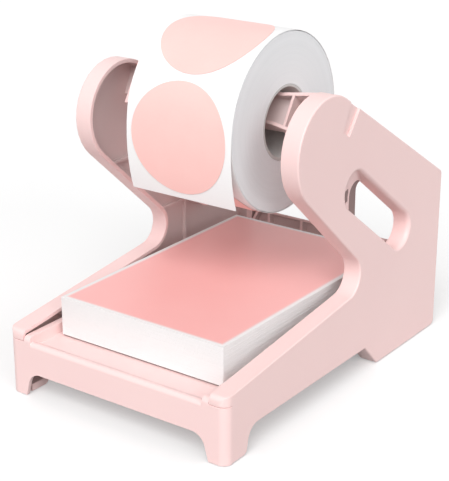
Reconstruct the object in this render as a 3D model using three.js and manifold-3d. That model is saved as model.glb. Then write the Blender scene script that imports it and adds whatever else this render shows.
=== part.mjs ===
// Label roll holder: two ribbed side panels, a tray, a rear wall and a lift-out roll shaft,
// with a roll of round labels on the shaft and a fan-fold pack of labels on the tray.
// Millimetres. X runs across from the middle, Y runs back from the front face, Z runs up
// from the surface that the holder stands on. The last group moves the origin to mid depth.

import * as THREE from 'three';
import { mergeVertices } from 'three/addons/utils/BufferGeometryUtils.js';
import Module from 'manifold-3d';

const wasm = await Module();
wasm.setup();

// Whole holder, as wide as the pack on its tray asks for
const depth = 206;
const clearance = 0.3; // between pieces that touch
const overrun = 1; // how far a cut or a join passes the face it works on
const facetAngle = Math.PI / 18;
const turnSlack = 1e-6; // so that a turn of whole facets is not given one more

// Side panels: a skin with a rim flange round it, open towards the middle
const panelDepth = 10.1;
const skinWall = 2.4;
const rimWall = 2.2;
const ribWall = 1.8;
const ribHeight = 2;
const edgeRadius = 3;
const tipHeight = 36.6;
const notchY = 107.7;
const notchZ = 60.8;
const notchRadius = 11.6;
const headY = 85.5;
const headZ = 134.2;
const headRadius = 28.2;
const rearHeight = 95.3;

// Feet and the arches between them
const archHeight = 14;
const archRadius = 8;
const archSpread = 0.8;
const sideFootLength = 17.7;
const rearFootLength = 67;
const rearArchRun = 12.4;
const rearArchRadius = 2;
const frontFootWidth = 9.5;
const frontArchSlant = 3;

// Grip pads in pockets under the feet
const padHeight = 1.8;
const padProud = 0.4;
const padWidth = 6;
const padEdge = 2;
const footSole = 4;
const rearPadLength = 42;

// Handle tunnel through each panel
const handleRearReach = 28.4; // from its middle to the middle of each end
const handleFrontReach = 31.5;
const handleWidth = 20.2;
const handleTilt = (-36.4 * Math.PI) / 180;
const handleFromRear = 68.5;
const handleUnderSlope = 46.7;
const handleWall = 2;
const handleSlantWall = 4.5; // more along the wall where the front end slopes in
const handleFlare = 1.9;
const handleFlareDepth = 3;
const handleFlareSteps = 5;
const throatAhead = 19.1; // the front end has sloped to here, ahead of the middle
const throatRun = 0.6;
const throatRadius = 7.7;
const stopPlateWall = 2; // plate that closes the front of the tunnel on the open side
const stopPlateAhead = 12.3;
const stopPlateRadius = 4;
const lowCornerRadius = 3;
const windowLength = 18;
const windowHeight = 7;
const windowWidth = 4.8;
const windowAhead = 30.5;
const windowAbove = 14.2;

// Slot for the shaft's tang, square to the panel's back slope
const slotAlongSlope = 9.9;
const slotDepth = 15.6;
const slotBottomWidth = 6.8;
const slotTopWidth = 10;
const bossWall = 2;
const bossSetback = 2;

// Ribs inside each panel
const postRibY = 146.4;
const shelfRibZ = 66;
const braceRibZ = 104;

// Tray and front skirt
const floorTop = 28.2;
const floorWall = 2.2;
const skirtTop = 31;
const skirtWall = 2.4;
const cornerRadius = 5;
const skirtRound = 2.4;
const sideWallTop = 34.1;
const sideWallWidth = 4;
const sideWallRound = 1;
const lipRun = 6;
const underRibHeight = 8;
const underRibCount = 3;
const clipLength = 12;
const clipReach = 2;
const clipWall = 1.7;
const clipCount = 3;

// Rear wall
const rearWallDepth = 7;
const rearWallTop = 48.6;
const rearWallDrop = 3.8; // its top falls towards the back, so that labels slide off
const rearFlange = 1.6;
const rearRibPairs = [18.9, 42.5];
const rearEndBlock = 4;
const cornerBraceRun = 9.2;
const cornerBraceDrop = 12.4;

// Roll shaft: an I beam with a crown that carries the roll, a waist and flared ends, with cross
// ribs. A rise is how far its top stands over the slot's mouth.
const shaftCrownX = 12;
const shaftCrownHalfWidth = 7.9;
const shaftCrownRise = 0.2;
const shaftWaistX = 30;
const shaftWaistHalfWidth = 6.5;
const shaftWaistRise = -2;
const shaftEndHalfWidth = 15;
const shaftEndRise = -0.7;
const shaftBelow = 3.6;
const shaftEndBelow = 9;
const shaftWall = 1.8;
const shaftRibPitch = 19.5;
const shaftRibPairs = 2;
const shaftEndGap = 1.9;
const tangRecess = 1.6;
const tangTopGap = 0.1;

// Label roll
const rollWidth = 65;
const coreBore = 18.2;
const coreWall = 1.5;
const rollRadius = 46.25;
const webWall = 0.55;
const tailRadius = 95;
const tailLength = 42.5;
const leaveAngle = (8 * Math.PI) / 180;
const turnStartGap = 6;
const labelDiameter = 58.4;
const labelGap = 4;
const labelWall = 0.35;
const firstLabelAt = -9.8; // its centre, along the web from where the tail leaves
const labelSlices = 16;
const labelEndShare = 0.5; // how much of a slice is left off each end of a round label
const rollFacets = 48;

// Fan-fold pack
const stackWidth = 104;
const stackSideGap = 3.1; // to the tray's side walls
const stackFront = 21.9;
const stackRearGap = 20.8;
const stackHeight = 21.4;
const sheetWall = 0.3;
const labelMargin = 1.2;

const pink = { color: 0xecd0ce, roughness: 0.42 };
const frontPink = { color: 0xf6d9d7, roughness: 0.42 };
const labelPink = { color: 0xffbdb9, roughness: 0.35 };
const paper = { color: 0xf4f3f2, roughness: 0.7 };
const cardboard = { color: 0x9a9a98, roughness: 0.85 };
const rubber = { color: 0x4a4646, roughness: 0.9 };

const width = stackWidth + 2 * (stackSideGap + sideWallWidth + clearance + panelDepth);
const halfWidth = width / 2;
const rimInner = halfWidth - panelDepth;
const skinInner = halfWidth - skinWall;

const material = (look) => new THREE.MeshStandardMaterial({ metalness: 0, ...look });
const disc = (y, z, r) => ({ y, z, r });

// Turn between a closed three.js geometry and a solid that can be joined and cut
function toSolid(geometry) {
  geometry.deleteAttribute('normal');
  geometry.deleteAttribute('uv');
  const merged = mergeVertices(geometry);
  return new wasm.Manifold(new wasm.Mesh({
    numProp: 3,
    vertProperties: new Float32Array(merged.attributes.position.array),
    triVerts: new Uint32Array(merged.index.array),
  }));
}

function toGeometry(solid) {
  const { vertProperties, triVerts, numProp } = solid.getMesh();
  const geometry = new THREE.BufferGeometry();
  const positions = new Float32Array((vertProperties.length / numProp) * 3);
  for (let i = 0; i < positions.length / 3; i += 1) {
    positions.set(vertProperties.subarray(i * numProp, i * numProp + 3), i * 3);
  }
  geometry.setAttribute('position', new THREE.BufferAttribute(positions, 3));
  geometry.setIndex(new THREE.BufferAttribute(new Uint32Array(triVerts), 1));
  geometry.computeVertexNormals();
  return geometry;
}

const joinAll = (solids) => solids.reduce((whole, next) => whole.add(next));

// Heading of the line that leaves one disc and touches the next, with the material on its left.
// A disc with a negative radius is a hollow corner.
function tangentHeading(from, to) {
  const run = to.y - from.y;
  const rise = to.z - from.z;
  return Math.atan2(rise, run) - Math.asin((to.r - from.r) / Math.hypot(run, rise));
}

function touchPoint(corner, heading, inset = 0) {
  const r = corner.r - inset;
  return new THREE.Vector2(corner.y + r * Math.sin(heading), corner.z - r * Math.cos(heading));
}

// Closed outline round a ring of discs, moved inwards by inset
function outline(discs, inset = 0) {
  const points = [];
  discs.forEach((corner, i) => {
    const start = tangentHeading(discs[(i + discs.length - 1) % discs.length], corner);
    let turn = tangentHeading(corner, discs[(i + 1) % discs.length]) - start;
    while (corner.r > 0 && turn < 0) turn += 2 * Math.PI;
    while (corner.r < 0 && turn > 0) turn -= 2 * Math.PI;
    const steps = Math.max(1, Math.ceil(Math.abs(turn) / facetAngle - turnSlack));
    for (let k = 0; k <= steps; k += 1) {
      points.push(touchPoint(corner, start + (turn * k) / steps, inset));
    }
  });
  return points;
}

// Extrusions of an outline: across X from (y, z), up Z from (x, y), and along Y from (x, z)
function extrude(points, length) {
  return new THREE.ExtrudeGeometry(new THREE.Shape(points), { depth: length, bevelEnabled: false });
}

const xAxis = new THREE.Vector3(1, 0, 0);
const yAxis = new THREE.Vector3(0, 1, 0);
const zAxis = new THREE.Vector3(0, 0, 1);

function slab(points, xA, xB) {
  const geometry = extrude(points, Math.abs(xB - xA));
  geometry.applyMatrix4(new THREE.Matrix4().makeBasis(yAxis, zAxis, xAxis));
  return toSolid(geometry.translate(Math.min(xA, xB), 0, 0));
}

function post(points, zLow, zHigh) {
  return toSolid(extrude(points, zHigh - zLow).translate(0, 0, zLow));
}

function wall(points, yLow, yHigh) {
  const geometry = extrude(points, yHigh - yLow);
  geometry.applyMatrix4(new THREE.Matrix4().makeBasis(xAxis, zAxis, yAxis.clone().negate()));
  return toSolid(geometry.translate(0, yHigh, 0));
}

function block([xA, xB], [yLow, yHigh], [zLow, zHigh]) {
  const geometry = new THREE.BoxGeometry(Math.abs(xB - xA), yHigh - yLow, zHigh - zLow);
  return toSolid(geometry.translate((xA + xB) / 2, (yLow + yHigh) / 2, (zLow + zHigh) / 2));
}

// Skin over a row of rings of equal counts, each turning to the left about the row's direction
function loft(rings) {
  const count = rings[0].length;
  const index = [];
  for (let k = 0; k < rings.length - 1; k += 1) {
    for (let i = 0; i < count; i += 1) {
      const a = k * count + i;
      const b = k * count + ((i + 1) % count);
      index.push(a, b, b + count, a, b + count, a + count);
    }
  }
  const last = (rings.length - 1) * count;
  for (let i = 1; i < count - 1; i += 1) {
    index.push(0, i + 1, i, last, last + i, last + i + 1);
  }
  const geometry = new THREE.BufferGeometry();
  const positions = rings.flat().flatMap((point) => [point.x, point.y, point.z]);
  geometry.setAttribute('position', new THREE.Float32BufferAttribute(positions, 3));
  geometry.setIndex(index);
  return geometry;
}

// Panel outline
const footZ = padProud + edgeRadius;
const rearTopDisc = disc(depth - edgeRadius, rearHeight - edgeRadius, edgeRadius);
const headDisc = disc(headY, headZ, headRadius);
const panelDiscs = [
  disc(depth - edgeRadius, footZ, edgeRadius),
  rearTopDisc,
  headDisc,
  disc(notchY, notchZ, -notchRadius),
  disc(edgeRadius, tipHeight - edgeRadius, edgeRadius),
  disc(edgeRadius, footZ, edgeRadius),
  disc(sideFootLength - edgeRadius, footZ, edgeRadius),
  disc(sideFootLength + archSpread + archRadius, archHeight - archRadius, -archRadius),
  disc(depth - rearFootLength - rearArchRun, archHeight - rearArchRadius, -rearArchRadius),
  disc(depth - rearFootLength + edgeRadius, footZ, edgeRadius),
];

// The back slope and the frame of the shaft's slot on it: u runs down the slope to the rear,
// v runs out of the slope, and both are zero at the middle of the slot's floor
const slopeHeading = tangentHeading(rearTopDisc, headDisc);
const slopeTilt = slopeHeading - Math.PI;
const slopeTop = touchPoint(headDisc, slopeHeading);
const slotU = new THREE.Vector2(Math.cos(slopeTilt), Math.sin(slopeTilt));
const slotV = new THREE.Vector2(-Math.sin(slopeTilt), Math.cos(slopeTilt));
const slotFloor = slopeTop.clone()
  .addScaledVector(slotU, slotAlongSlope)
  .addScaledVector(slotV, -slotDepth);
const inSlot = (u, v) => slotFloor.clone().addScaledVector(slotU, u).addScaledVector(slotV, v);

// Tapered outline of the slot, grown by a margin at the sides and under the floor
function wedge(margin, top) {
  const lean = (slotTopWidth - slotBottomWidth) / 2 / slotDepth;
  const low = -margin;
  const halfLow = slotBottomWidth / 2 + margin + lean * low;
  const halfHigh = slotBottomWidth / 2 + margin + lean * top;
  return [[-halfLow, low], [halfLow, low], [halfHigh, top], [-halfHigh, top]];
}

const slopeZ = (y) => slopeTop.y + (y - slopeTop.x) * Math.tan(slopeTilt);
const handleY = depth - handleFromRear;
const handleZ = slopeZ(handleY) - handleUnderSlope;

// Disc of the handle's outlines, along and across its axis from its middle
function handleDisc(along, across, radius) {
  return disc(
    handleY + along * Math.cos(handleTilt) - across * Math.sin(handleTilt),
    handleZ + along * Math.sin(handleTilt) + across * Math.cos(handleTilt),
    radius,
  );
}

// Corner of an upright front end that stands ahead of the middle, on the upper or the lower wall
function handleCorner(up, ahead, radius, margin) {
  const across = up * (handleWidth / 2 - radius);
  const along = (radius - ahead + across * Math.sin(handleTilt)) / Math.cos(handleTilt);
  return handleDisc(along, across, radius + margin);
}

const mouthOutline = (margin, frontMargin = 0) => outline([
  handleDisc(-handleFrontReach - frontMargin, 0, handleWidth / 2 + margin),
  handleDisc(handleRearReach, 0, handleWidth / 2 + margin),
]);

const innerOutline = (ahead, radius, margin = 0) => outline([
  handleCorner(-1, ahead, lowCornerRadius, margin),
  handleDisc(handleRearReach, 0, handleWidth / 2 + margin),
  handleCorner(1, ahead, radius, margin),
]);

// Tunnel: a mouth that flares, a front end that slopes in to the throat, and the way past the plate
function handleTunnel(side) {
  const plateX = rimInner + stopPlateWall;
  const flareX = halfWidth - handleFlareDepth;
  const throat = slab(innerOutline(throatAhead, throatRadius), side * plateX, side * (plateX + throatRun));
  const slope = slab(mouthOutline(0), side * flareX, side * skinInner).add(throat).hull();
  const way = innerOutline(stopPlateAhead, stopPlateRadius);
  const rings = [];
  const addRing = (x, margin) => rings.push(
    mouthOutline(margin).map((point) => new THREE.Vector3(side * x, point.x, point.y)),
  );
  for (let k = 0; k <= handleFlareSteps; k += 1) {
    const t = (k / handleFlareSteps) * (Math.PI / 2);
    addRing(halfWidth - handleFlareDepth * (1 - Math.sin(t)), handleFlare * (1 - Math.cos(t)));
  }
  addRing(halfWidth + overrun, handleFlare);
  if (side < 0) rings.reverse();
  return slope
    .add(toSolid(loft(rings)))
    .add(slab(way, side * (rimInner - overrun), side * (plateX + throatRun)));
}

function handleSleeve(side) {
  const low = innerOutline(throatAhead + handleSlantWall, throatRadius, handleWall);
  return slab(mouthOutline(handleWall, handleSlantWall), side * skinInner, side * (skinInner + overrun))
    .add(slab(low, side * rimInner, side * (rimInner + stopPlateWall)))
    .hull();
}

function footPocket(yLow, yHigh, side, margin) {
  const outerX = halfWidth - padEdge + margin;
  const innerX = halfWidth - padEdge - padWidth - margin;
  return block(
    [side * outerX, side * innerX],
    [yLow - margin, yHigh + margin],
    [margin > 0 ? -overrun : 0, padHeight + margin],
  );
}

const padPlaces = {
  front: [cornerRadius + padEdge, sideFootLength - padEdge - rimWall],
  rear: [depth - rimWall - padEdge - rearPadLength, depth - rimWall - padEdge],
};

function sidePanel(side) {
  const outer = side * halfWidth;
  const inner = side * rimInner;
  const skin = side * skinInner;
  const rooted = side * (skinInner + overrun);
  const ribTop = side * (skinInner - ribHeight);
  const ledgeTop = floorTop - floorWall - clearance;

  const shell = slab(outline(panelDiscs), inner, outer)
    .subtract(slab(outline(panelDiscs, rimWall), side * (rimInner - overrun), skin));

  const ribs = joinAll([
    block([rooted, ribTop], [postRibY - ribWall, postRibY], [floorTop + clearance, shelfRibZ + ribWall]),
    block([rooted, ribTop], [notchY, postRibY], [shelfRibZ, shelfRibZ + ribWall]),
    block([rooted, ribTop], [headY - headRadius, handleY], [braceRibZ, braceRibZ + ribWall]),
    block([rooted, inner], [rimWall, depth - rimWall], [ledgeTop - ribWall, ledgeTop]),
    block([rooted, inner], [rimWall, sideFootLength], [padProud, padProud + footSole]),
    block([rooted, inner], [padPlaces.rear[0] - rimWall, depth - rimWall], [padProud, padProud + footSole]),
    handleSleeve(side),
    slab(wedge(bossWall, slotDepth).map(([u, v]) => inSlot(u, v)), rooted, side * (rimInner + bossSetback)),
  ]).intersect(slab(outline(panelDiscs, rimWall / 2), inner, rooted));

  const through = [side * (halfWidth + overrun), side * (rimInner - overrun)];
  const cornerCut = [
    new THREE.Vector2(side * (halfWidth - cornerRadius), -overrun),
    new THREE.Vector2(side * (halfWidth + overrun), -overrun),
    new THREE.Vector2(side * (halfWidth + overrun), cornerRadius),
  ];
  for (let t = 0; t <= Math.PI / 2 + facetAngle / 2; t += facetAngle) {
    cornerCut.push(new THREE.Vector2(
      side * (halfWidth - cornerRadius * (1 - Math.cos(t))),
      cornerRadius * (1 - Math.sin(t)),
    ));
  }
  const windowX = [side * (skinInner - windowWidth), side * skinInner];
  const windowSpan = [handleY - windowAhead - windowLength / 2, handleY - windowAhead + windowLength / 2];
  const windowRise = [handleZ + windowAbove - windowHeight / 2, handleZ + windowAbove + windowHeight / 2];

  const cuts = joinAll([
    handleTunnel(side),
    slab(wedge(0, slotDepth + overrun).map(([u, v]) => inSlot(u, v)), ...through),
    block(through, [-overrun, cornerRadius + clearance], [-overrun, skirtTop + clearance]),
    post(cornerCut, skirtTop, tipHeight + overrun),
    block(windowX, windowSpan, windowRise),
    ...Object.values(padPlaces).map(([yLow, yHigh]) => footPocket(yLow, yHigh, side, clearance)),
  ]);
  return toGeometry(shell.add(ribs).subtract(cuts));
}

// Tray: floor, front skirt with rounded corners, lip, cross ribs below and clips under the ledges
function frontPlan() {
  const points = [];
  const arc = (side, radius, from, to) => {
    const steps = Math.round(Math.PI / 2 / facetAngle);
    for (let k = 0; k <= steps; k += 1) {
      const t = from + ((to - from) * k) / steps;
      const x = side * (halfWidth - cornerRadius + radius * Math.sin(t));
      points.push(new THREE.Vector2(x, cornerRadius - radius * Math.cos(t)));
    }
  };
  arc(-1, cornerRadius, Math.PI / 2, 0);
  arc(1, cornerRadius, 0, Math.PI / 2);
  arc(1, cornerRadius - skirtWall, Math.PI / 2, 0);
  arc(-1, cornerRadius - skirtWall, 0, Math.PI / 2);
  return points;
}

function baseTray() {
  const floorBottom = floorTop - floorWall;
  const floorHalf = skinInner - clearance;
  const floorEnd = depth - rearWallDepth - clearance;
  const archFoot = halfWidth - frontFootWidth;
  const archX = archFoot - frontArchSlant - archRadius;
  const archOutline = outline([
    disc(-archX, archHeight - archRadius, archRadius),
    disc(-archFoot, -archRadius, overrun),
    disc(archFoot, -archRadius, overrun),
    disc(archX, archHeight - archRadius, archRadius),
  ]);
  const lip = [
    [skirtWall - overrun, floorBottom],
    [skirtWall + lipRun, floorBottom],
    [skirtWall + lipRun, floorTop],
    [skirtWall + overrun, skirtTop],
    [skirtWall - overrun, skirtTop],
  ].map(([y, z]) => new THREE.Vector2(y, z));
  const edgeCut = [
    new THREE.Vector2(-overrun, skirtTop - skirtRound),
    new THREE.Vector2(-overrun, skirtTop + overrun),
    new THREE.Vector2(skirtRound, skirtTop + overrun),
  ];
  for (let t = 0; t <= Math.PI / 2 + facetAngle / 2; t += facetAngle) {
    edgeCut.push(new THREE.Vector2(
      skirtRound * (1 - Math.sin(t)),
      skirtTop - skirtRound * (1 - Math.cos(t)),
    ));
  }
  const stem = rimInner - clearance;
  const ribSpan = stem - clipWall - clipReach;
  const hookTop = floorBottom - clearance - ribWall - clearance;
  const hookLow = hookTop - clipWall;
  const solids = [
    block([-floorHalf, floorHalf], [skirtWall - overrun, floorEnd], [floorBottom, floorTop]),
    post(frontPlan(), padProud, skirtTop),
    slab(lip, -floorHalf, floorHalf),
  ];
  for (let k = 1; k <= underRibCount; k += 1) {
    const y = (floorEnd * k) / (underRibCount + 1);
    const height = [floorBottom - underRibHeight, floorBottom + floorWall / 2];
    solids.push(block([-ribSpan, ribSpan], [y, y + ribWall], height));
  }
  const endRound = sideWallTop - skirtTop;
  const sideWall = outline([
    disc(sideWallRound, floorBottom + sideWallRound, sideWallRound),
    disc(floorEnd - sideWallRound, floorBottom + sideWallRound, sideWallRound),
    disc(floorEnd - sideWallRound, sideWallTop - sideWallRound, sideWallRound),
    disc(endRound, skirtTop, endRound),
  ]);
  for (const side of [-1, 1]) {
    solids.push(slab(sideWall, side * stem, side * (stem - sideWallWidth)));
    for (let k = 0; k < clipCount; k += 1) {
      const y = sideFootLength + ((floorEnd - sideFootLength) * (k + 1 / 2)) / clipCount;
      const span = [y - clipLength / 2, y + clipLength / 2];
      const stemX = [side * (stem - clipWall), side * stem];
      const hookX = [side * (stem - clipWall), side * (stem + clipReach)];
      solids.push(block(stemX, span, [hookLow, floorBottom + floorWall / 2]));
      solids.push(block(hookX, span, [hookLow, hookTop]));
    }
  }
  return toGeometry(joinAll(solids)
    .subtract(wall(archOutline, -overrun, skirtWall + overrun))
    .subtract(slab(edgeCut, sideWallWidth - stem, stem - sideWallWidth)));
}

// Rear wall: a skin at the back with flanges and ribs, its cells open to the front
function rearWall() {
  const half = rimInner - clearance;
  const front = depth - rearWallDepth;
  const span = [front, depth];
  const bottom = archHeight;
  const topAt = (y) => rearWallTop - (rearWallDrop * (y - front)) / rearWallDepth;
  const skin = depth - rimWall;
  const back = [[skin, bottom], [depth, bottom], [depth, topAt(depth)], [skin, topAt(skin)]];
  const rail = [
    [front, rearWallTop - rearFlange],
    [depth, topAt(depth) - rearFlange],
    [depth, topAt(depth)],
    [front, rearWallTop],
  ];
  const web = [[front, bottom], [depth, bottom], [depth, topAt(depth)], [front, rearWallTop]];
  const across = (shape, xA, xB) => slab(shape.map(([y, z]) => new THREE.Vector2(y, z)), xA, xB);
  const solids = [
    across(back, -half, half),
    across(rail, -half, half),
    block([-half, half], span, [bottom, bottom + rearFlange]),
  ];
  for (const side of [-1, 1]) {
    solids.push(across(web, side * half, side * (half - rearEndBlock)));
    for (const x of rearRibPairs) {
      solids.push(across(web, side * x - ribWall / 2, side * x + ribWall / 2));
    }
    const braceEnd = half - rearEndBlock + overrun;
    const brace = [
      new THREE.Vector2(side * (half - cornerBraceRun - ribWall / 2), rearWallTop),
      new THREE.Vector2(side * (half - cornerBraceRun + ribWall / 2), rearWallTop),
      new THREE.Vector2(side * braceEnd, rearWallTop - cornerBraceDrop + ribWall),
      new THREE.Vector2(side * braceEnd, rearWallTop - cornerBraceDrop - ribWall),
    ];
    solids.push(wall(brace, front, depth).intersect(across(web, -half, half)));
  }
  return toGeometry(joinAll(solids));
}

// Shaft, in the slot's frame: x across, y along u, z along v
const shaftEnd = rimInner - shaftEndGap;
const mix = (a, b, t) => a + (b - a) * t;

const shaftStations = [
  { x: 0, half: shaftCrownHalfWidth, low: shaftBelow, rise: shaftCrownRise },
  { x: shaftCrownX, half: shaftCrownHalfWidth, low: shaftBelow, rise: shaftCrownRise },
  { x: shaftWaistX, half: shaftWaistHalfWidth, low: shaftBelow, rise: shaftWaistRise },
  { x: shaftEnd, half: shaftEndHalfWidth, low: shaftEndBelow, rise: shaftEndRise },
];

function shaftSection(x) {
  const next = Math.max(1, shaftStations.findIndex((station) => station.x >= Math.abs(x)));
  const [a, b] = [shaftStations[next - 1], shaftStations[next]];
  const t = (Math.abs(x) - a.x) / (b.x - a.x);
  return {
    half: mix(a.half, b.half, t),
    low: -mix(a.low, b.low, t),
    high: slotDepth + mix(a.rise, b.rise, t),
  };
}

// Stations of the shaft from xA to xB, both ends included
function shaftStops(xA, xB) {
  const bends = shaftStations.flatMap(({ x }) => [-x, x]).filter((x) => x > xA && x < xB && x !== 0);
  return [xA, ...bends, xB].sort((a, b) => a - b);
}

const frame = (x, [uA, uB], [vA, vB]) => [[uA, vA], [uB, vA], [uB, vB], [uA, vB]]
  .map(([u, v]) => new THREE.Vector3(x, u, v));

function shaftCell(xA, xB, side) {
  return toSolid(loft(shaftStops(xA, xB).map((x) => {
    const { half, low, high } = shaftSection(x);
    const reach = [(side * shaftWall) / 2, side * (half + overrun)].sort((a, b) => a - b);
    return frame(x, reach, [low + shaftWall, high - shaftWall]);
  })));
}

function rollShaft() {
  let beam = toSolid(loft(shaftStops(-shaftEnd, shaftEnd).map((x) => {
    const { half, low, high } = shaftSection(x);
    return frame(x, [-half, half], [low, high]);
  })));
  const ribs = [];
  for (let k = -shaftRibPairs; k <= shaftRibPairs; k += 1) ribs.push(k * shaftRibPitch);
  const edges = [-shaftEnd + shaftWall / 2, ...ribs, shaftEnd - shaftWall / 2];
  for (let k = 0; k < edges.length - 1; k += 1) {
    for (const side of [-1, 1]) {
      beam = beam.subtract(shaftCell(edges[k] + shaftWall / 2, edges[k + 1] - shaftWall / 2, side));
    }
  }
  const tangEnd = halfWidth - tangRecess;
  const tangTop = slotDepth - tangTopGap;
  for (const side of [-1, 1]) {
    const tang = wedge(-clearance, tangTop).map(([u, v]) => new THREE.Vector2(u, v));
    beam = beam.add(slab(tang, side * (shaftEnd - shaftWall / 2), side * tangEnd));
  }
  return toGeometry(beam);
}

// Roll: its core hangs on the top front edge of the shaft's crown
const rollHalf = rollWidth / 2;
const hangSection = shaftSection(0);
const hangPoint = inSlot(-hangSection.half, hangSection.high);
const boreFlat = coreBore * Math.cos(Math.PI / rollFacets);
const rollCentre = hangPoint.clone().sub(new THREE.Vector2(0, boreFlat - clearance));

function tube(rInner, rOuter, half) {
  const profile = [[rInner, -half], [rOuter, -half], [rOuter, half], [rInner, half], [rInner, -half]]
    .map(([r, h]) => new THREE.Vector2(r, h));
  return new THREE.LatheGeometry(profile, rollFacets).rotateZ(-Math.PI / 2);
}

// Place on the web: s is the way along it from where the tail leaves, up over the roll when
// positive and down the tail when negative; lift is the height over the web's inner face
const webInner = rollRadius + clearance;
function onWeb(s, lift) {
  const radius = s < 0 ? tailRadius : webInner + webWall;
  const angle = leaveAngle + s / radius;
  const leave = new THREE.Vector2(-Math.cos(leaveAngle), Math.sin(leaveAngle));
  const centre = leave.multiplyScalar(webInner + webWall - radius);
  return new THREE.Vector2(-Math.cos(angle), Math.sin(angle))
    .multiplyScalar(radius - webWall + lift)
    .add(centre);
}

function outerTurn() {
  const radius = webInner + webWall;
  const turnLength = radius * 2 * Math.PI - turnStartGap;
  const stepLength = (radius * 2 * Math.PI) / rollFacets;
  const stops = [];
  const tailSteps = Math.ceil(tailLength / stepLength);
  for (let k = 0; k < tailSteps; k += 1) stops.push(-tailLength * (1 - k / tailSteps));
  const turnSteps = Math.round(turnLength / stepLength);
  for (let k = 0; k <= turnSteps; k += 1) stops.push((turnLength * k) / turnSteps);
  const points = [
    ...stops.map((s) => onWeb(s, 0)),
    ...stops.toReversed().map((s) => onWeb(s, webWall)),
  ];
  return toGeometry(slab(points, -rollHalf, rollHalf));
}

function roundLabel(centreAt) {
  const rings = [];
  const radius = labelDiameter / 2;
  for (let k = 0; k <= labelSlices; k += 1) {
    const slice = mix(labelEndShare, labelSlices - labelEndShare, k / labelSlices);
    const t = (Math.PI * slice) / labelSlices;
    const s = centreAt - radius * Math.cos(t);
    const half = radius * Math.sin(t);
    const low = onWeb(s, webWall + clearance);
    const high = onWeb(s, webWall + clearance + labelWall);
    rings.push([[-half, low], [-half, high], [half, high], [half, low]]
      .map(([x, point]) => new THREE.Vector3(x, point.x, point.y)));
  }
  return loft(rings);
}

const holder = new THREE.Group();

function addPiece(parent, name, geometry, look) {
  const mesh = new THREE.Mesh(geometry, material(look));
  mesh.name = name;
  parent.add(mesh);
  return mesh;
}

for (const [name, side] of [['left', -1], ['right', 1]]) {
  addPiece(holder, `${name}_side_panel`, sidePanel(side), pink);
  for (const [end, [yLow, yHigh]] of Object.entries(padPlaces)) {
    const pad = toGeometry(footPocket(yLow, yHigh, side, 0));
    addPiece(holder, `foot_pad_${end}_${name}`, pad, rubber);
  }
}
addPiece(holder, 'base_tray', baseTray(), frontPink);
addPiece(holder, 'rear_wall', rearWall(), pink);

const shaftFrame = new THREE.Group();
shaftFrame.position.set(0, slotFloor.x, slotFloor.y);
shaftFrame.rotation.x = slopeTilt;
holder.add(shaftFrame);
addPiece(shaftFrame, 'roll_shaft', rollShaft(), pink);

const roll = new THREE.Group();
roll.position.set(0, rollCentre.x, rollCentre.y);
holder.add(roll);
addPiece(roll, 'roll_core', tube(coreBore, coreBore + coreWall, rollHalf), cardboard);
addPiece(roll, 'label_roll', tube(coreBore + coreWall + clearance, rollRadius, rollHalf), paper);
addPiece(roll, 'outer_turn', outerTurn(), paper);
['front', 'top', 'rear', 'under', 'bottom'].forEach((place, k) => {
  const centreAt = firstLabelAt + k * (labelDiameter + labelGap);
  addPiece(roll, `round_label_${place}`, roundLabel(centreAt), labelPink);
});

const stackLength = depth - rearWallDepth - stackRearGap - stackFront;
const stack = new THREE.Group();
stack.position.set(0, stackFront + stackLength / 2, floorTop + clearance);
holder.add(stack);
const layers = [
  ['fanfold_stack', stackWidth, stackLength, stackHeight, paper],
  ['fanfold_top_sheet', stackWidth, stackLength, sheetWall, paper],
  ['fanfold_top_label', stackWidth - 2 * labelMargin, stackLength - 2 * labelMargin, sheetWall, labelPink],
];
let layerBottom = 0;
for (const [name, across, along, thick, look] of layers) {
  const layer = addPiece(stack, name, new THREE.BoxGeometry(across, along, thick), look);
  layer.position.z = layerBottom + thick / 2;
  layerBottom += thick + clearance;
}

holder.position.y = -depth / 2;
const part = new THREE.Group();
part.add(holder);

export default part;
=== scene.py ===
import math
import random
import bmesh
import bpy
from mathutils import Matrix, Vector
from mathutils.bvhtree import BVHTree


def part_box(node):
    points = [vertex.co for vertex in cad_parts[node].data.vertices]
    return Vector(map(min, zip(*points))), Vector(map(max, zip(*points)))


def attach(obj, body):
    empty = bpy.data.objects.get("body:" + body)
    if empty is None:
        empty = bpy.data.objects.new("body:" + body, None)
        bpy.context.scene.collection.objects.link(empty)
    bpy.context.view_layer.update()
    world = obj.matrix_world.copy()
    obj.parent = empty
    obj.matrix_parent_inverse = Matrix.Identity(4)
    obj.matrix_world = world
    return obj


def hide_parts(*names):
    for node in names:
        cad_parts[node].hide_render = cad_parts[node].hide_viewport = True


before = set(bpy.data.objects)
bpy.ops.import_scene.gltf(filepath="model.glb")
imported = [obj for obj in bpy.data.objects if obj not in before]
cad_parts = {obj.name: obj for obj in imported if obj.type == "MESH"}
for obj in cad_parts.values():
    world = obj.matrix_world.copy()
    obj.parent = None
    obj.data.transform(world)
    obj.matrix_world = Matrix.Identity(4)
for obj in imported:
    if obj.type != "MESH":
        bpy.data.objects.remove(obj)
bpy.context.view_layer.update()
scene = bpy.context.scene
scene.view_settings.view_transform = "Standard"
mm = 0.001
# how near two places count as one: points to weld, points on a face, points on a drawn line, cuts
nearSizes = {"weld": 0.002 * mm, "face": 0.01 * mm, "line": 0.0001 * mm, "cut": 0.001 * mm}
print("frame loaded")


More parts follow.
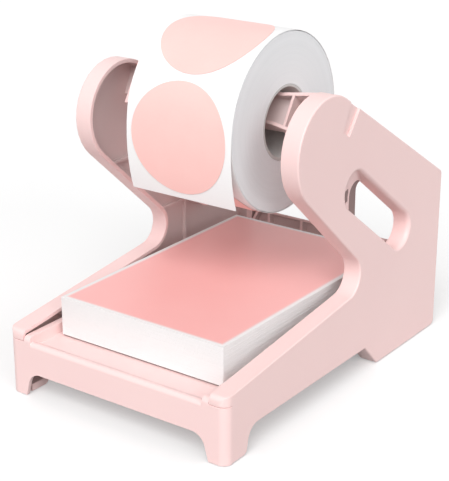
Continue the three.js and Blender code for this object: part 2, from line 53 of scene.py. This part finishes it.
class Wire:
    def __init__(self, tree, socket):
        self.tree, self.socket = tree, socket

    def join(self, operation, *terms):
        return addNode(self.tree, "ShaderNodeMath", {"operation": operation}, dict(enumerate(terms)))

    def __add__(self, other):
        return self.join("ADD", self, other)

    def __radd__(self, other):
        return self.join("ADD", other, self)

    def __sub__(self, other):
        return self.join("SUBTRACT", self, other)

    def __rsub__(self, other):
        return self.join("SUBTRACT", other, self)

    def __mul__(self, other):
        return self.join("MULTIPLY", self, other)

    def __rmul__(self, other):
        return self.join("MULTIPLY", other, self)


def addNode(tree, kind, settings=None, sockets=None, output=0):
    node = tree.nodes.new(kind)
    for key, value in (settings or {}).items():
        setattr(node, key, value)
    for key, value in (sockets or {}).items():
        if isinstance(value, Wire):
            tree.links.new(value.socket, node.inputs[key])
        else:
            node.inputs[key].default_value = value
    return Wire(tree, node.outputs[output]) if node.outputs else None


def rgba(color):
    # screen colour, 0 to 255, as the light that it stands for
    return (*((v / 255 / 12.92) if v < 10 else ((v / 255 + 0.055) / 1.055) ** 2.4 for v in color), 1)


def startMaterial(name):
    look = bpy.data.materials.new(name)
    look.use_nodes = True
    look.node_tree.nodes.clear()
    tree = look.node_tree
    return look, tree, addNode(tree, "ShaderNodeTexCoord", None, None, "Object")


def closeMaterial(tree, tone, relief, roughness, texture, more=None):
    # the relief stands out by the texture's depth, and what else the surface needs is in more
    bump = addNode(tree, "ShaderNodeBump", None,
                   {"Strength": texture["strength"], "Distance": texture["depth"], "Height": relief})
    surface = addNode(tree, "ShaderNodeBsdfPrincipled", None, {
        "Base Color": tone,
        "Roughness": roughness,
        "Normal": bump,
        "Specular IOR Level": texture["reflection"],
        **(more or {}),
    })
    addNode(tree, "ShaderNodeOutputMaterial", None, {"Surface": surface})


def mixColors(tree, factor, first, second):
    # the colours go in at a Mix node's 7th and 8th sockets and come out at its third
    return addNode(tree, "ShaderNodeMix", {"data_type": "RGBA"}, {0: factor, 6: first, 7: second}, 2)


def noise(tree, place, scale, detail, roughness=0.5):
    return addNode(tree, "ShaderNodeTexNoise", None,
                   {"Vector": place, "Scale": scale, "Detail": detail, "Roughness": roughness})


def ringNoise(tree, away, scale, detail, roughness=0.5):
    return addNode(tree, "ShaderNodeTexNoise", {"noise_dimensions": "1D"},
                   {"W": away, "Scale": scale, "Detail": detail, "Roughness": roughness})


def stretched(tree, place, scale):
    return addNode(tree, "ShaderNodeMapping", None, {"Vector": place, "Scale": scale})


def alongAxis(tree, place, axis, start):
    return addNode(tree, "ShaderNodeSeparateXYZ", None, {"Vector": place}, axis) - start


def swing(pattern, share):
    # a pattern from 0 to 1 as a change to either side of nothing
    return (pattern - 0.5) * share


plasticTexture = {"cloud": 14, "grain": 1900, "grainRoughness": 0.6, "flow": 3, "flowStretch": (40, 7, 7),
                  "depth": 0.08 * mm, "flowShare": 0.1, "grainShare": 0.08, "reflection": 0.42,
                  "glowReach": (1, 0.55, 0.5), "glowDepth": 1.2 * mm}


def mouldedPlastic(name, sizes):
    look, tree, place = startMaterial(name)
    texture = {**plasticTexture, "strength": sizes["grainStrength"]}
    cloud = noise(tree, place, texture["cloud"], 2)
    grain = noise(tree, place, texture["grain"], 2, texture["grainRoughness"])
    flow = noise(tree, stretched(tree, place, texture["flowStretch"]), texture["flow"], 2)
    tone = mixColors(tree, cloud, rgba(sizes["deep"]), rgba(sizes["light"]))
    roughness = sizes["roughness"] + swing(flow, texture["flowShare"]) + swing(grain, texture["grainShare"])
    closeMaterial(tree, tone, grain, roughness, texture, {
        "Subsurface Weight": sizes["glow"],
        "Subsurface Radius": texture["glowReach"],
        "Subsurface Scale": texture["glowDepth"],
    })
    return look


def insideEdge(tree, place, sizes):
    # 0 at the edge of a square label, 1 where its print is full
    reach = []
    for axis, middle, half in zip("XY", sizes["middle"], sizes["half"]):
        along = alongAxis(tree, place, axis, middle)
        reach.append(half - along.join("ABSOLUTE", along))
    nearest = reach[0].join("MINIMUM", *reach)
    return addNode(tree, "ShaderNodeMapRange", {"interpolation_type": "SMOOTHSTEP"},
                   {"Value": nearest, "From Min": 0, "From Max": sizes["fade"]})


labelTexture = {"ink": 60, "inkShare": 0.6, "fibre": 420, "fibreShare": 0.4, "stretch": (1, 2.6, 2.6),
                "fibreRoughness": 0.65, "strength": 0.06, "depth": 0.05 * mm, "roughShare": 0.12,
                "reflection": 0.5}


def coatedLabel(name, sizes):
    look, tree, place = startMaterial(name)
    texture = labelTexture
    ink = noise(tree, place, texture["ink"], 3)
    fibre = noise(tree, stretched(tree, place, texture["stretch"]), texture["fibre"], 4,
                  texture["fibreRoughness"])
    tone = mixColors(tree, ink * texture["inkShare"] + fibre * texture["fibreShare"],
                     rgba(sizes["deep"]), rgba(sizes["light"]))
    if "fade" in sizes:
        tone = mixColors(tree, insideEdge(tree, place, sizes), rgba(sizes["edge"]), tone)
    closeMaterial(tree, tone, fibre, sizes["roughness"] + swing(fibre, texture["roughShare"]), texture)
    return look


linerTexture = {"fibre": 520, "fibreShare": 0.5, "cloud": 35, "cloudShare": 0.5, "stretch": (1, 2.2, 2.2),
                "fibreRoughness": 0.65, "strength": 0.08, "depth": 0.06 * mm, "roughShare": 0.1,
                "reflection": 0.35}


def linerPaper(name, sizes):
    look, tree, place = startMaterial(name)
    texture = linerTexture
    fibre = noise(tree, stretched(tree, place, texture["stretch"]), texture["fibre"], 4,
                  texture["fibreRoughness"])
    cloud = noise(tree, place, texture["cloud"], 2)
    tone = mixColors(tree, fibre * texture["fibreShare"] + cloud * texture["cloudShare"],
                     rgba(sizes["deep"]), rgba(sizes["light"]))
    closeMaterial(tree, tone, fibre, sizes["roughness"] + swing(fibre, texture["roughShare"]), texture)
    return look


windingTexture = {"rings": 2600, "ringShare": 0.6, "ringRoughness": 0.7, "bands": 320, "bandShare": 0.4,
                  "strength": 0.12, "depth": 0.08 * mm, "roughShare": 0.1, "reflection": 0.3}


def windingPaper(name, sizes):
    # cut edges of the turns: fine rings round the roll's own axis
    look, tree, place = startMaterial(name)
    texture = windingTexture
    up = alongAxis(tree, place, "Z", sizes["centre"].z)
    back = alongAxis(tree, place, "Y", sizes["centre"].y)
    square = up * up + back * back
    away = square.join("SQRT", square)
    rings = ringNoise(tree, away, texture["rings"], 2, texture["ringRoughness"])
    bands = ringNoise(tree, away, texture["bands"], 1)
    tone = mixColors(tree, rings * texture["ringShare"] + bands * texture["bandShare"],
                     rgba(sizes["deep"]), rgba(sizes["light"]))
    closeMaterial(tree, tone, rings, sizes["roughness"] + swing(rings, texture["roughShare"]), texture)
    return look


boardTexture = {"speckRoughness": 0.7, "strength": 0.25, "depth": 0.1 * mm, "roughShare": 0.15,
                "reflection": 0.25}


def roughFibre(name, sizes):
    # grey board of the core, or rubber of the pads
    look, tree, place = startMaterial(name)
    texture = boardTexture
    speck = noise(tree, place, sizes["grain"], 5, texture["speckRoughness"])
    tone = mixColors(tree, speck, rgba(sizes["deep"]), rgba(sizes["light"]))
    closeMaterial(tree, tone, speck, sizes["roughness"] + swing(speck, texture["roughShare"]), texture)
    return look


def addPiece(name, mesh, look, body, nodes, sharpAngle=28, more=()):
    data = bpy.data.meshes.new(name)
    for finish in (look, *more):
        data.materials.append(finish)
    mesh.to_mesh(data)
    mesh.free()
    data.shade_smooth()
    data.set_sharp_from_angle(angle=math.radians(sharpAngle))
    piece = bpy.data.objects.new(name, data)
    scene.collection.objects.link(piece)
    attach(piece, body)
    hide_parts(*nodes)
    return piece


# Rounding of the moulded pieces' edges: angles in degrees
softSizes = {"flatTurn": 0.6, "sharpTurn": 50, "narrowTurn": 40, "normalWeight": 60}


def edgeTurn(edge):
    return edge.calc_face_angle(0)


def isSharp(edge):
    return edgeTurn(edge) > math.radians(softSizes["sharpTurn"])


def roomy(edge, offset):
    # beside an edge that is too short, the rounding would fold over itself
    return all(e.calc_length() > offset for v in edge.verts for e in v.link_edges if not isSharp(e))


def pinched(edge, chosen):
    # two rounded edges that meet at a narrow angle would draw out a spike
    for corner in edge.verts:
        way = edge.other_vert(corner).co - corner.co
        for other in corner.link_edges:
            if other is not edge and other in chosen \
                    and way.angle(other.other_vert(corner).co - corner.co, 0) \
                    < math.radians(softSizes["narrowTurn"]):
                return True
    return False


def bevelEdges(mesh, edges, offset, segments):
    bmesh.ops.bevel(mesh, geom=edges, offset=offset, offset_type="OFFSET", affect="EDGES",
                    segments=segments, profile=0.5, material=-1, clamp_overlap=False)
    bmesh.ops.remove_doubles(mesh, verts=mesh.verts, dist=nearSizes["weld"])


def softEdges(mesh, edges, offset, segments=2):
    chosen = {e for e in edges if roomy(e, offset)}
    bevelEdges(mesh, [e for e in edges if e in chosen and not pinched(e, chosen)], offset, segments)


def copyOfCad(node):
    mesh = bmesh.new()
    mesh.from_mesh(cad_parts[node].data)
    bmesh.ops.remove_doubles(mesh, verts=mesh.verts, dist=nearSizes["weld"])
    bmesh.ops.dissolve_limit(mesh, angle_limit=math.radians(softSizes["flatTurn"]),
                             verts=mesh.verts, edges=mesh.edges)
    return mesh


def weighNormals(piece):
    weighing = piece.modifiers.new("weighNormals", "WEIGHTED_NORMAL")
    weighing.keep_sharp = True
    weighing.weight = softSizes["normalWeight"]


# Side panels: shells with ribs inside, their outer edge softened more than the rest
panelSizes = {"outerRound": 0.9 * mm, "outerSteps": 4, "fineRound": 0.3 * mm, "seamY": 5 * mm,
              "seamTop": 31.4 * mm, "seamGap": 0.3 * mm}
slotSizes = {"floorY": -2.497 * mm, "floorZ": 139.828 * mm, "tilt": -31.28, "halfWidth": 5.6 * mm,
             "under": 3 * mm, "tangGrow": 0.26 * mm, "tangFrom": 60 * mm}
plasticSizes = {"deep": (243, 210, 208), "light": (248, 217, 214), "roughness": 0.4,
                "grainStrength": 0.1, "glow": 0.02}
# darker colour for faces in the hollows: painted shade, on a rougher matt surface
insideShadeSizes = {"deep": (220, 199, 197), "light": (227, 206, 204), "roughness": 0.6,
               "grainStrength": 0.3, "glow": 0, "edgeDepth": 0.6 * mm, "airGap": 0.4 * mm,
               "backFacing": -0.9}
# near-dark colour for the stop plate and its window: painted shade
plateShadeSizes = {"deep": (130, 108, 106), "light": (152, 129, 126), "roughness": 0.6,
              "grainStrength": 0.2, "glow": 0, "flat": 0.999, "under": 5 * mm, "low": 90 * mm,
              "high": 125 * mm}
pinkPlastic = mouldedPlastic("pinkPlastic", plasticSizes)
insideShadePlastic = mouldedPlastic("insideShadePlastic", insideShadeSizes)
plateShadePlastic = mouldedPlastic("plateShadePlastic", plateShadeSizes)


def acrossSlot(place):
    # how far a place lies from the middle of the shaft's slot, down the back slope
    tilt = math.radians(slotSizes["tilt"])
    back, up = place.y - slotSizes["floorY"], place.z - slotSizes["floorZ"]
    return back * math.cos(tilt) + up * math.sin(tilt)


def slotWay():
    tilt = math.radians(slotSizes["tilt"])
    return Vector((0, math.cos(tilt), math.sin(tilt)))


def besideSlot(edge):
    return all(abs(acrossSlot(v.co)) < slotSizes["halfWidth"]
               and v.co.z > slotSizes["floorZ"] - slotSizes["under"] for v in edge.verts)


def onSeam(edge, frontY):
    # upright joint between the panel and the tray's round corner, which shows no line
    seamY = frontY + panelSizes["seamY"]
    return all(seamY - nearSizes["face"] < v.co.y < seamY + panelSizes["seamGap"] + nearSizes["face"]
               and v.co.z < panelSizes["seamTop"] for v in edge.verts)


def sharpEdges(mesh, frontY):
    return [e for e in mesh.edges if isSharp(e) and not onSeam(e, frontY)]


def markShadedInside(mesh, wayIn, depthOf):
    # a face is inside where the part closes the air before it, and there it takes a darker colour as
    # painted shade; its rims keep the outer finish
    mesh.normal_update()
    solid = BVHTree.FromBMesh(mesh)
    for face in mesh.faces:
        centre = face.calc_center_median()
        way = wayIn(centre)
        if depthOf(centre) > insideShadeSizes["edgeDepth"]:
            closed = solid.ray_cast(centre + face.normal * insideShadeSizes["airGap"], way)[0]
            turnedBack = face.normal.dot(way) < insideShadeSizes["backFacing"]
            face.material_index = int(turnedBack or closed is not None)


def markShadedPlate(mesh, outer):
    # the stop plate behind the handle's front end, seen through the handle, and its window, painted dark as
    # shade
    for face in mesh.faces:
        centre = face.calc_center_median()
        outward = face.normal.x * math.copysign(1, outer)
        if outward > plateShadeSizes["flat"] and abs(outer - centre.x) > plateShadeSizes["under"] \
                and plateShadeSizes["low"] < centre.z < plateShadeSizes["high"]:
            face.material_index = 2


def closeSeam(mesh, frontY):
    # the panel's front edge moves up to the tray's round corner
    gapEnd = frontY + panelSizes["seamY"] + panelSizes["seamGap"]
    for vert in mesh.verts:
        if abs(vert.co.y - gapEnd) < nearSizes["face"] and vert.co.z < panelSizes["seamTop"]:
            vert.co.y -= panelSizes["seamGap"]


def sidePanel(side):
    node = side + "_side_panel"
    low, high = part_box(node)
    outer, inner = (high.x, low.x) if side == "right" else (low.x, high.x)
    outward = Vector((math.copysign(1, outer), 0, 0))
    mesh = copyOfCad(node)
    onSkin = [e for e in sharpEdges(mesh, low.y) if not besideSlot(e)
              and all(abs(v.co.x - outer) < nearSizes["face"] for v in e.verts)]
    softEdges(mesh, onSkin, panelSizes["outerRound"], panelSizes["outerSteps"])
    softEdges(mesh, sharpEdges(mesh, low.y), panelSizes["fineRound"])
    closeSeam(mesh, low.y)
    # hollow faces get the painted-shade colour, and the stop plate a deeper painted shade
    markShadedInside(mesh, lambda place: outward, lambda place: abs(place.x - inner))
    markShadedPlate(mesh, outer)
    weighNormals(addPiece("panel_" + side, mesh, pinkPlastic, "frame", [node],
                          more=(insideShadePlastic, plateShadePlastic)))


for side in ("left", "right"):
    sidePanel(side)
print("side panels done")

# Tray with its front skirt, the wall at the back and the shaft
traySizes = {"fineRound": 0.3 * mm}
wallSizes = {"fineRound": 0.25 * mm}
shaftSizes = {"fineRound": 0.25 * mm,  # and the flanges' half widths along the shaft
              "halfWidths": ((0, 7.9 * mm), (12 * mm, 7.9 * mm), (30 * mm, 6.5 * mm), (57.5 * mm, 15 * mm))}


def towardsWeb(place):
    return slotWay() * -math.copysign(1, acrossSlot(place))


def webDepth(place):
    # how far a place lies in from the edge of the shaft's flanges, which narrow between its ends
    x = abs(place.x)
    steps = shaftSizes["halfWidths"]
    for (xA, halfA), (xB, halfB) in zip(steps, steps[1:]):
        if xA <= x <= xB:
            return halfA + (halfB - halfA) * (x - xA) / (xB - xA) - abs(acrossSlot(place))
    return 0


def fillSlot(mesh):
    # the tangs widen by a set amount, to close the dark line beside them
    for vert in mesh.verts:
        if abs(vert.co.x) > slotSizes["tangFrom"]:
            vert.co += slotWay() * math.copysign(slotSizes["tangGrow"], acrossSlot(vert.co))


def softCopy(node, name, look, body, offset):
    mesh = copyOfCad(node)
    low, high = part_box(node)
    softEdges(mesh, sharpEdges(mesh, low.y), offset)
    for vert in mesh.verts:  # no rounding stands out past the solid's own box
        vert.co = [min(max(place, least), most) for place, least, most in zip(vert.co, low, high)]
    more = ()
    if node == "roll_shaft":
        fillSlot(mesh)
        # the shaft's web between its flanges gets the painted-shade colour
        markShadedInside(mesh, towardsWeb, webDepth)
        more = (insideShadePlastic,)
    if node == "rear_wall":
        # the wall's cells behind its front get the painted-shade colour
        markShadedInside(mesh, lambda place: Vector((0, 1, 0)), lambda place: place.y - low.y)
        more = (insideShadePlastic,)
    weighNormals(addPiece(name, mesh, look, body, [node], more=more))


softCopy("base_tray", "tray", pinkPlastic, "frame", traySizes["fineRound"])
softCopy("rear_wall", "wall_rear", pinkPlastic, "frame", wallSizes["fineRound"])
print("tray and rear wall done")
softCopy("roll_shaft", "shaft", pinkPlastic, "shaft", shaftSizes["fineRound"])
print("shaft done")

padSizes = {"deep": (58, 54, 54), "light": (78, 73, 73), "roughness": 0.85, "grain": 900,
            "fineRound": 0.4 * mm}
padRubber = roughFibre("padRubber", padSizes)
for end in ("front", "rear"):
    for side in ("left", "right"):
        softCopy(f"foot_pad_{end}_{side}", f"pad_{end}_{side}", padRubber, "frame",
                 padSizes["fineRound"])
print("pads done")

# Label roll: core, wound web, outer turn with its tail, and the round labels on it
coreLow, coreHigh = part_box("roll_core")
rollLow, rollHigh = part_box("label_roll")
rollCentre = (coreLow + coreHigh) / 2
rollSizes = {
    "half": (rollHigh.x - rollLow.x) / 2, "steps": 144,
    "coreBore": 18.2 * mm, "coreWall": 1.5 * mm, "coreRound": 0.3 * mm,
    "turns": 46, "windingGap": 0.05 * mm, "windingRadius": 46.24 * mm, "turnRound": 0.08 * mm,
    "turnJitter": 0.04 * mm, "seed": 7,
    "webInner": 46.82 * mm, "webWall": 0.22 * mm, "webAcross": 12, "webAlong": 170,
    "tailRadius": 95 * mm, "tailLength": 42.5 * mm, "leaveAngle": 8, "turnStartGap": 6 * mm,
    "labelDiameter": 58.4 * mm, "labelGap": 4 * mm, "labelWall": 0.08 * mm, "labelLift": 0.005 * mm,
    "labelSides": 96, "labelSlices": 28, "firstLabelAt": -9.8 * mm,
}
coreBoard = roughFibre("greyCoreBoard", {"deep": (186, 185, 183), "light": (208, 207, 205),
                                         "roughness": 0.85, "grain": 500})
windingEdge = windingPaper("windingEdge", {
    "deep": (228, 230, 232), "light": (240, 242, 244), "roughness": 0.7, "centre": rollCentre})
webPaper = linerPaper("webPaper", {"deep": (243, 242, 242), "light": (250, 250, 250), "roughness": 0.55})
labelFace = coatedLabel("roundLabelFace", {"deep": (252, 197, 191), "light": (255, 209, 203),
                                           "roughness": 0.36})


def borderEdge(edge, inner, outer, half):
    onEnd = any(all(abs(v.co.x - x) < nearSizes["line"] for v in edge.verts) for x in (-half, half))
    onRing = any(all(abs(v.co.z - z) < nearSizes["line"] for v in edge.verts) for z in (inner, outer))
    return onEnd or onRing


def ringProfile(inner, outer, half, across, jitter, corner):
    # outline of a ring's section in the plane of X and Z over the axis, ready for a spin
    mesh = bmesh.new()
    bmesh.ops.create_grid(mesh, x_segments=1, y_segments=across, size=1)
    for vert in mesh.verts:
        vert.co = Vector((vert.co.x * half, 0, (inner + outer) / 2 + vert.co.y * (outer - inner) / 2))
    corners = [v for v in mesh.verts if abs(abs(v.co.x) - half) < nearSizes["line"]
               and min(abs(v.co.z - inner), abs(v.co.z - outer)) < nearSizes["line"]]
    bmesh.ops.delete(mesh, geom=mesh.faces, context="FACES_ONLY")
    inside = [e for e in mesh.edges if not borderEdge(e, inner, outer, half)]
    bmesh.ops.delete(mesh, geom=inside, context="EDGES")
    bmesh.ops.bevel(mesh, geom=corners, offset=corner, offset_type="OFFSET", affect="VERTICES",
                    segments=2, profile=0.5, material=-1, clamp_overlap=True)
    rng = random.Random(rollSizes["seed"])
    for vert in sorted(mesh.verts, key=lambda v: (v.co.x, v.co.z)):
        if jitter and abs(abs(vert.co.x) - half) < nearSizes["line"]:
            vert.co.x -= math.copysign(rng.uniform(0, jitter), vert.co.x)
    bmesh.ops.translate(mesh, verts=mesh.verts, vec=(0, rollCentre.y, rollCentre.z))
    return mesh


def spinRound(mesh):
    bmesh.ops.spin(mesh, geom=mesh.verts[:] + mesh.edges[:], cent=(0, rollCentre.y, rollCentre.z),
                   axis=(1, 0, 0), angle=2 * math.pi, steps=rollSizes["steps"], use_merge=True)
    bmesh.ops.recalc_face_normals(mesh, faces=mesh.faces)
    return mesh


coreOuter = rollSizes["coreBore"] + rollSizes["coreWall"]
core = ringProfile(rollSizes["coreBore"], coreOuter, rollSizes["half"], 1, 0, rollSizes["coreRound"])
addPiece("core_tube", spinRound(core), coreBoard, "roll", ["roll_core"])
winding = ringProfile(coreOuter + rollSizes["windingGap"], rollSizes["windingRadius"],
                      rollSizes["half"], rollSizes["turns"], rollSizes["turnJitter"],
                      rollSizes["turnRound"])
addPiece("winding", spinRound(winding), windingEdge, "roll", ["label_roll"],
         sharpAngle=60)
print("core and winding done")


def onWeb(s, lift):
    # place along the web: s runs up over the roll from where the tail leaves, lift out of its inner face
    web = rollSizes["webInner"] + rollSizes["webWall"]
    radius = rollSizes["tailRadius"] if s < 0 else web
    leave = math.radians(rollSizes["leaveAngle"])
    angle = leave + s / radius
    reach = radius - rollSizes["webWall"] + lift
    y = -math.cos(leave) * (web - radius) - math.cos(angle) * reach
    z = math.sin(leave) * (web - radius) + math.sin(angle) * reach
    return Vector((0, rollCentre.y + y, rollCentre.z + z))


def wrapOnWeb(mesh, base):
    # flat pieces are drawn with the web's run along Y and its lift along Z
    for vert in mesh.verts:
        x, s, lift = vert.co
        vert.co = onWeb(s, base + lift)
        vert.co.x = x


def cutAcross(mesh, s):
    bmesh.ops.bisect_plane(mesh, geom=mesh.verts[:] + mesh.edges[:] + mesh.faces[:],
                           dist=nearSizes["cut"], plane_co=(0, s, 0), plane_no=(0, 1, 0))


def outerTurn():
    mesh = bmesh.new()
    radius = rollSizes["webInner"] + rollSizes["webWall"]
    run = radius * 2 * math.pi - rollSizes["turnStartGap"] + rollSizes["tailLength"]
    bmesh.ops.create_grid(mesh, x_segments=rollSizes["webAcross"], y_segments=rollSizes["webAlong"],
                          size=1)
    for vert in mesh.verts:
        vert.co.x *= rollSizes["half"]
        vert.co.y = (vert.co.y + 1) / 2 * run - rollSizes["tailLength"]
    cutAcross(mesh, 0)
    wrapOnWeb(mesh, 0)
    bmesh.ops.recalc_face_normals(mesh, faces=mesh.faces)
    bmesh.ops.solidify(mesh, geom=mesh.faces[:], thickness=rollSizes["webWall"])
    bmesh.ops.recalc_face_normals(mesh, faces=mesh.faces)
    return mesh


def roundLabel(centreAt):
    mesh = bmesh.new()
    bmesh.ops.create_circle(mesh, cap_ends=True, cap_tris=False, segments=rollSizes["labelSides"],
                            radius=rollSizes["labelDiameter"] / 2)
    bmesh.ops.translate(mesh, verts=mesh.verts, vec=(0, centreAt, 0))
    for k in range(1, rollSizes["labelSlices"]):
        cutAcross(mesh, centreAt + rollSizes["labelDiameter"] * (k / rollSizes["labelSlices"] - 0.5))
    raised = bmesh.ops.extrude_face_region(mesh, geom=mesh.faces[:])
    top = [g for g in raised["geom"] if isinstance(g, bmesh.types.BMVert)]
    bmesh.ops.translate(mesh, verts=top, vec=(0, 0, rollSizes["labelWall"]))
    bmesh.ops.recalc_face_normals(mesh, faces=mesh.faces)
    wrapOnWeb(mesh, rollSizes["webWall"] + rollSizes["labelLift"])
    return mesh


addPiece("web_outer", outerTurn(), webPaper, "roll", ["outer_turn"], sharpAngle=40)
for k, place in enumerate(("front", "top", "rear", "under", "bottom")):
    centreAt = rollSizes["firstLabelAt"] + k * (rollSizes["labelDiameter"] + rollSizes["labelGap"])
    addPiece("label_" + place, roundLabel(centreAt), labelFace, "roll", ["round_label_" + place],
             sharpAngle=40)
print("outer turn and labels done")

# Fan-fold pack: thin folded panels, and the top panel with its large label
packLow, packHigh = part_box("fanfold_stack")
sheetLow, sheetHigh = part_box("fanfold_top_sheet")
labelLow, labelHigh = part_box("fanfold_top_label")
packSizes = {"panels": 36, "panelShare": 0.985, "jitter": 0.04 * mm, "seed": 11,
             "foldRound": 0.1 * mm, "footInset": 0.4 * mm, "topWall": 0.25 * mm,
             "labelWall": 0.1 * mm, "labelCorner": 2.5 * mm, "cornerSteps": 6, "lift": 0.01 * mm}
packPaper = linerPaper("packPaper", {"deep": (232, 231, 231), "light": (239, 238, 238), "roughness": 0.6})
# dark paper colour for the lowest fold: a painted shadow line at the pack's foot
footShadePaper = linerPaper("footShadePaper", {"deep": (118, 102, 100), "light": (134, 118, 115), "roughness": 0.8})
packLabel = coatedLabel("packLabelFace", {
    "deep": (247, 180, 177), "light": (250, 189, 186), "roughness": 0.42,
    "edge": (236, 235, 235), "fade": 2.4 * mm,
    "middle": ((labelLow + labelHigh) / 2).xy, "half": ((labelHigh - labelLow) / 2).xy})


def plate(low, high, corner=0.0, edge=0.0):
    mesh = bmesh.new()
    size = high - low
    bmesh.ops.create_cube(mesh, size=1)
    bmesh.ops.scale(mesh, verts=mesh.verts, vec=size)
    bmesh.ops.translate(mesh, verts=mesh.verts, vec=(low + high) / 2)
    if corner:
        upright = [e for e in mesh.edges if abs(e.verts[0].co.z - e.verts[1].co.z) > size.z / 2]
        softEdges(mesh, upright, corner, packSizes["cornerSteps"])
    if edge:
        level = [e for e in mesh.edges
                 if isSharp(e) and abs(e.verts[0].co.z - e.verts[1].co.z) < size.z / 2]
        softEdges(mesh, level, edge)
    return mesh


def foldedPack():
    whole = bpy.data.meshes.new("foldedPack")
    mesh = bmesh.new()
    rng = random.Random(packSizes["seed"])
    pitch = (packHigh.z - packLow.z) / packSizes["panels"]
    for k in range(packSizes["panels"]):
        shift = Vector((rng.uniform(-1, 1), rng.uniform(-1, 1), 0)) * packSizes["jitter"]
        inset = packSizes["footInset"] if k == 0 else packSizes["jitter"]
        low = Vector((packLow.x + inset, packLow.y + inset, packLow.z + k * pitch)) + shift
        high = Vector((packHigh.x - inset, packHigh.y - inset,
                       packLow.z + (k + packSizes["panelShare"]) * pitch)) + shift
        sheet = plate(low, high, 0, packSizes["foldRound"])
        for face in sheet.faces:
            face.material_index = int(k == 0)  # the lowest one is painted dark as a shadow line at the foot
        sheet.to_mesh(whole)
        sheet.free()
        mesh.from_mesh(whole)
    bpy.data.meshes.remove(whole)
    return mesh


addPiece("pack_panels", foldedPack(), packPaper, "stack", ["fanfold_stack"],
         sharpAngle=40, more=(footShadePaper,))
topLow = Vector((sheetLow.x, sheetLow.y, packHigh.z + packSizes["lift"]))
topHigh = Vector((sheetHigh.x, sheetHigh.y, topLow.z + packSizes["topWall"]))
addPiece("top_panel_sheet", plate(topLow, topHigh), packPaper, "top_panel",
         ["fanfold_top_sheet"], sharpAngle=40)
faceLow = Vector((labelLow.x, labelLow.y, topHigh.z + packSizes["lift"]))
faceHigh = Vector((labelHigh.x, labelHigh.y, faceLow.z + packSizes["labelWall"]))
addPiece("top_panel_label", plate(faceLow, faceHigh, packSizes["labelCorner"]), packLabel,
         "top_panel", ["fanfold_top_label"], sharpAngle=40)
print("pack done")

# Floor, light and camera
stageSizes = {"floor": 9, "floorSeen": 1, "floorBounce": 0.42, "floorWhite": 0.3, "world": 0.5}
sunSizes = {"softKey": {"energy": 2.22, "angle": 40, "from": (0.28, -0.70, 0.66)},
            "sideFill": {"energy": 0.72, "angle": 30, "from": (0.86, -0.36, 0.36)}}
cameraSizes = {"place": (0.40099, -0.56116, 0.33012), "yaw": -35.97, "pitch": -20.8, "roll": 0.04,
               "lens": 102.742, "sensor": 36, "clipStart": 10 * mm}


def grey(value):
    return (value, value, value, 1)


def whiteRays(tree):
    # the rays that meet the background as white: seen straight, in a sheen or through a film
    kinds = ("Is Camera Ray", "Is Glossy Ray", "Is Transmission Ray")
    straight, sheen, through = (addNode(tree, "ShaderNodeLightPath", None, None, kind) for kind in kinds)
    return addNode(tree, "ShaderNodeMath", {"operation": "ADD", "use_clamp": True},
                   {0: straight + sheen, 1: through})


def whiteFloor():
    look = bpy.data.materials.new("whiteFloor")
    look.use_nodes = True
    tree = look.node_tree
    tree.nodes.clear()
    seen = whiteRays(tree)
    tone = mixColors(tree, seen, grey(stageSizes["floorBounce"]), grey(stageSizes["floorSeen"]))
    matt = addNode(tree, "ShaderNodeBsdfDiffuse", None, {"Color": tone})
    shine = addNode(tree, "ShaderNodeEmission", None, {"Color": grey(1), "Strength": 1})
    both = addNode(tree, "ShaderNodeMixShader", None,
                   {0: seen * stageSizes["floorWhite"], 1: matt, 2: shine})
    addNode(tree, "ShaderNodeOutputMaterial", None, {"Surface": both})
    mesh = bmesh.new()
    bmesh.ops.create_grid(mesh, x_segments=1, y_segments=1, size=stageSizes["floor"])
    data = bpy.data.meshes.new("floor")
    mesh.to_mesh(data)
    mesh.free()
    data.materials.append(look)
    floor = bpy.data.objects.new("floor", data)
    scene.collection.objects.link(floor)


def softRoom():
    world = bpy.data.worlds.new("softRoom")
    world.use_nodes = True
    tree = world.node_tree
    tree.nodes.clear()
    strength = stageSizes["world"] + whiteRays(tree) * (1 - stageSizes["world"])
    sky = addNode(tree, "ShaderNodeBackground", None, {"Color": grey(1), "Strength": strength})
    addNode(tree, "ShaderNodeOutputWorld", None, {"Surface": sky})
    scene.world = world


def placeSun(name, sizes):
    sun = bpy.data.lights.new(name, "SUN")
    sun.energy = sizes["energy"]
    sun.angle = math.radians(sizes["angle"])
    lamp = bpy.data.objects.new(name, sun)
    lamp.rotation_euler = Vector(sizes["from"]).to_track_quat("Z", "Y").to_euler()
    scene.collection.objects.link(lamp)


def placeCamera(sizes):
    data = bpy.data.cameras.new("photoCamera")
    data.lens = sizes["lens"]
    data.sensor_width = sizes["sensor"]
    data.clip_start = sizes["clipStart"]
    camera = bpy.data.objects.new("photoCamera", data)
    yaw, pitch = math.radians(sizes["yaw"]), math.radians(sizes["pitch"])
    ahead = Vector((math.sin(yaw) * math.cos(pitch), math.cos(yaw) * math.cos(pitch), math.sin(pitch)))
    camera.matrix_world = Matrix.Translation(sizes["place"]) \
        @ ahead.to_track_quat("-Z", "Y").to_matrix().to_4x4() \
        @ Matrix.Rotation(math.radians(sizes["roll"]), 4, "Z")
    scene.collection.objects.link(camera)
    scene.camera = camera


whiteFloor()
softRoom()
for sunName, sizes in sunSizes.items():
    placeSun(sunName, sizes)
placeCamera(cameraSizes)
print("floor, light and camera done")
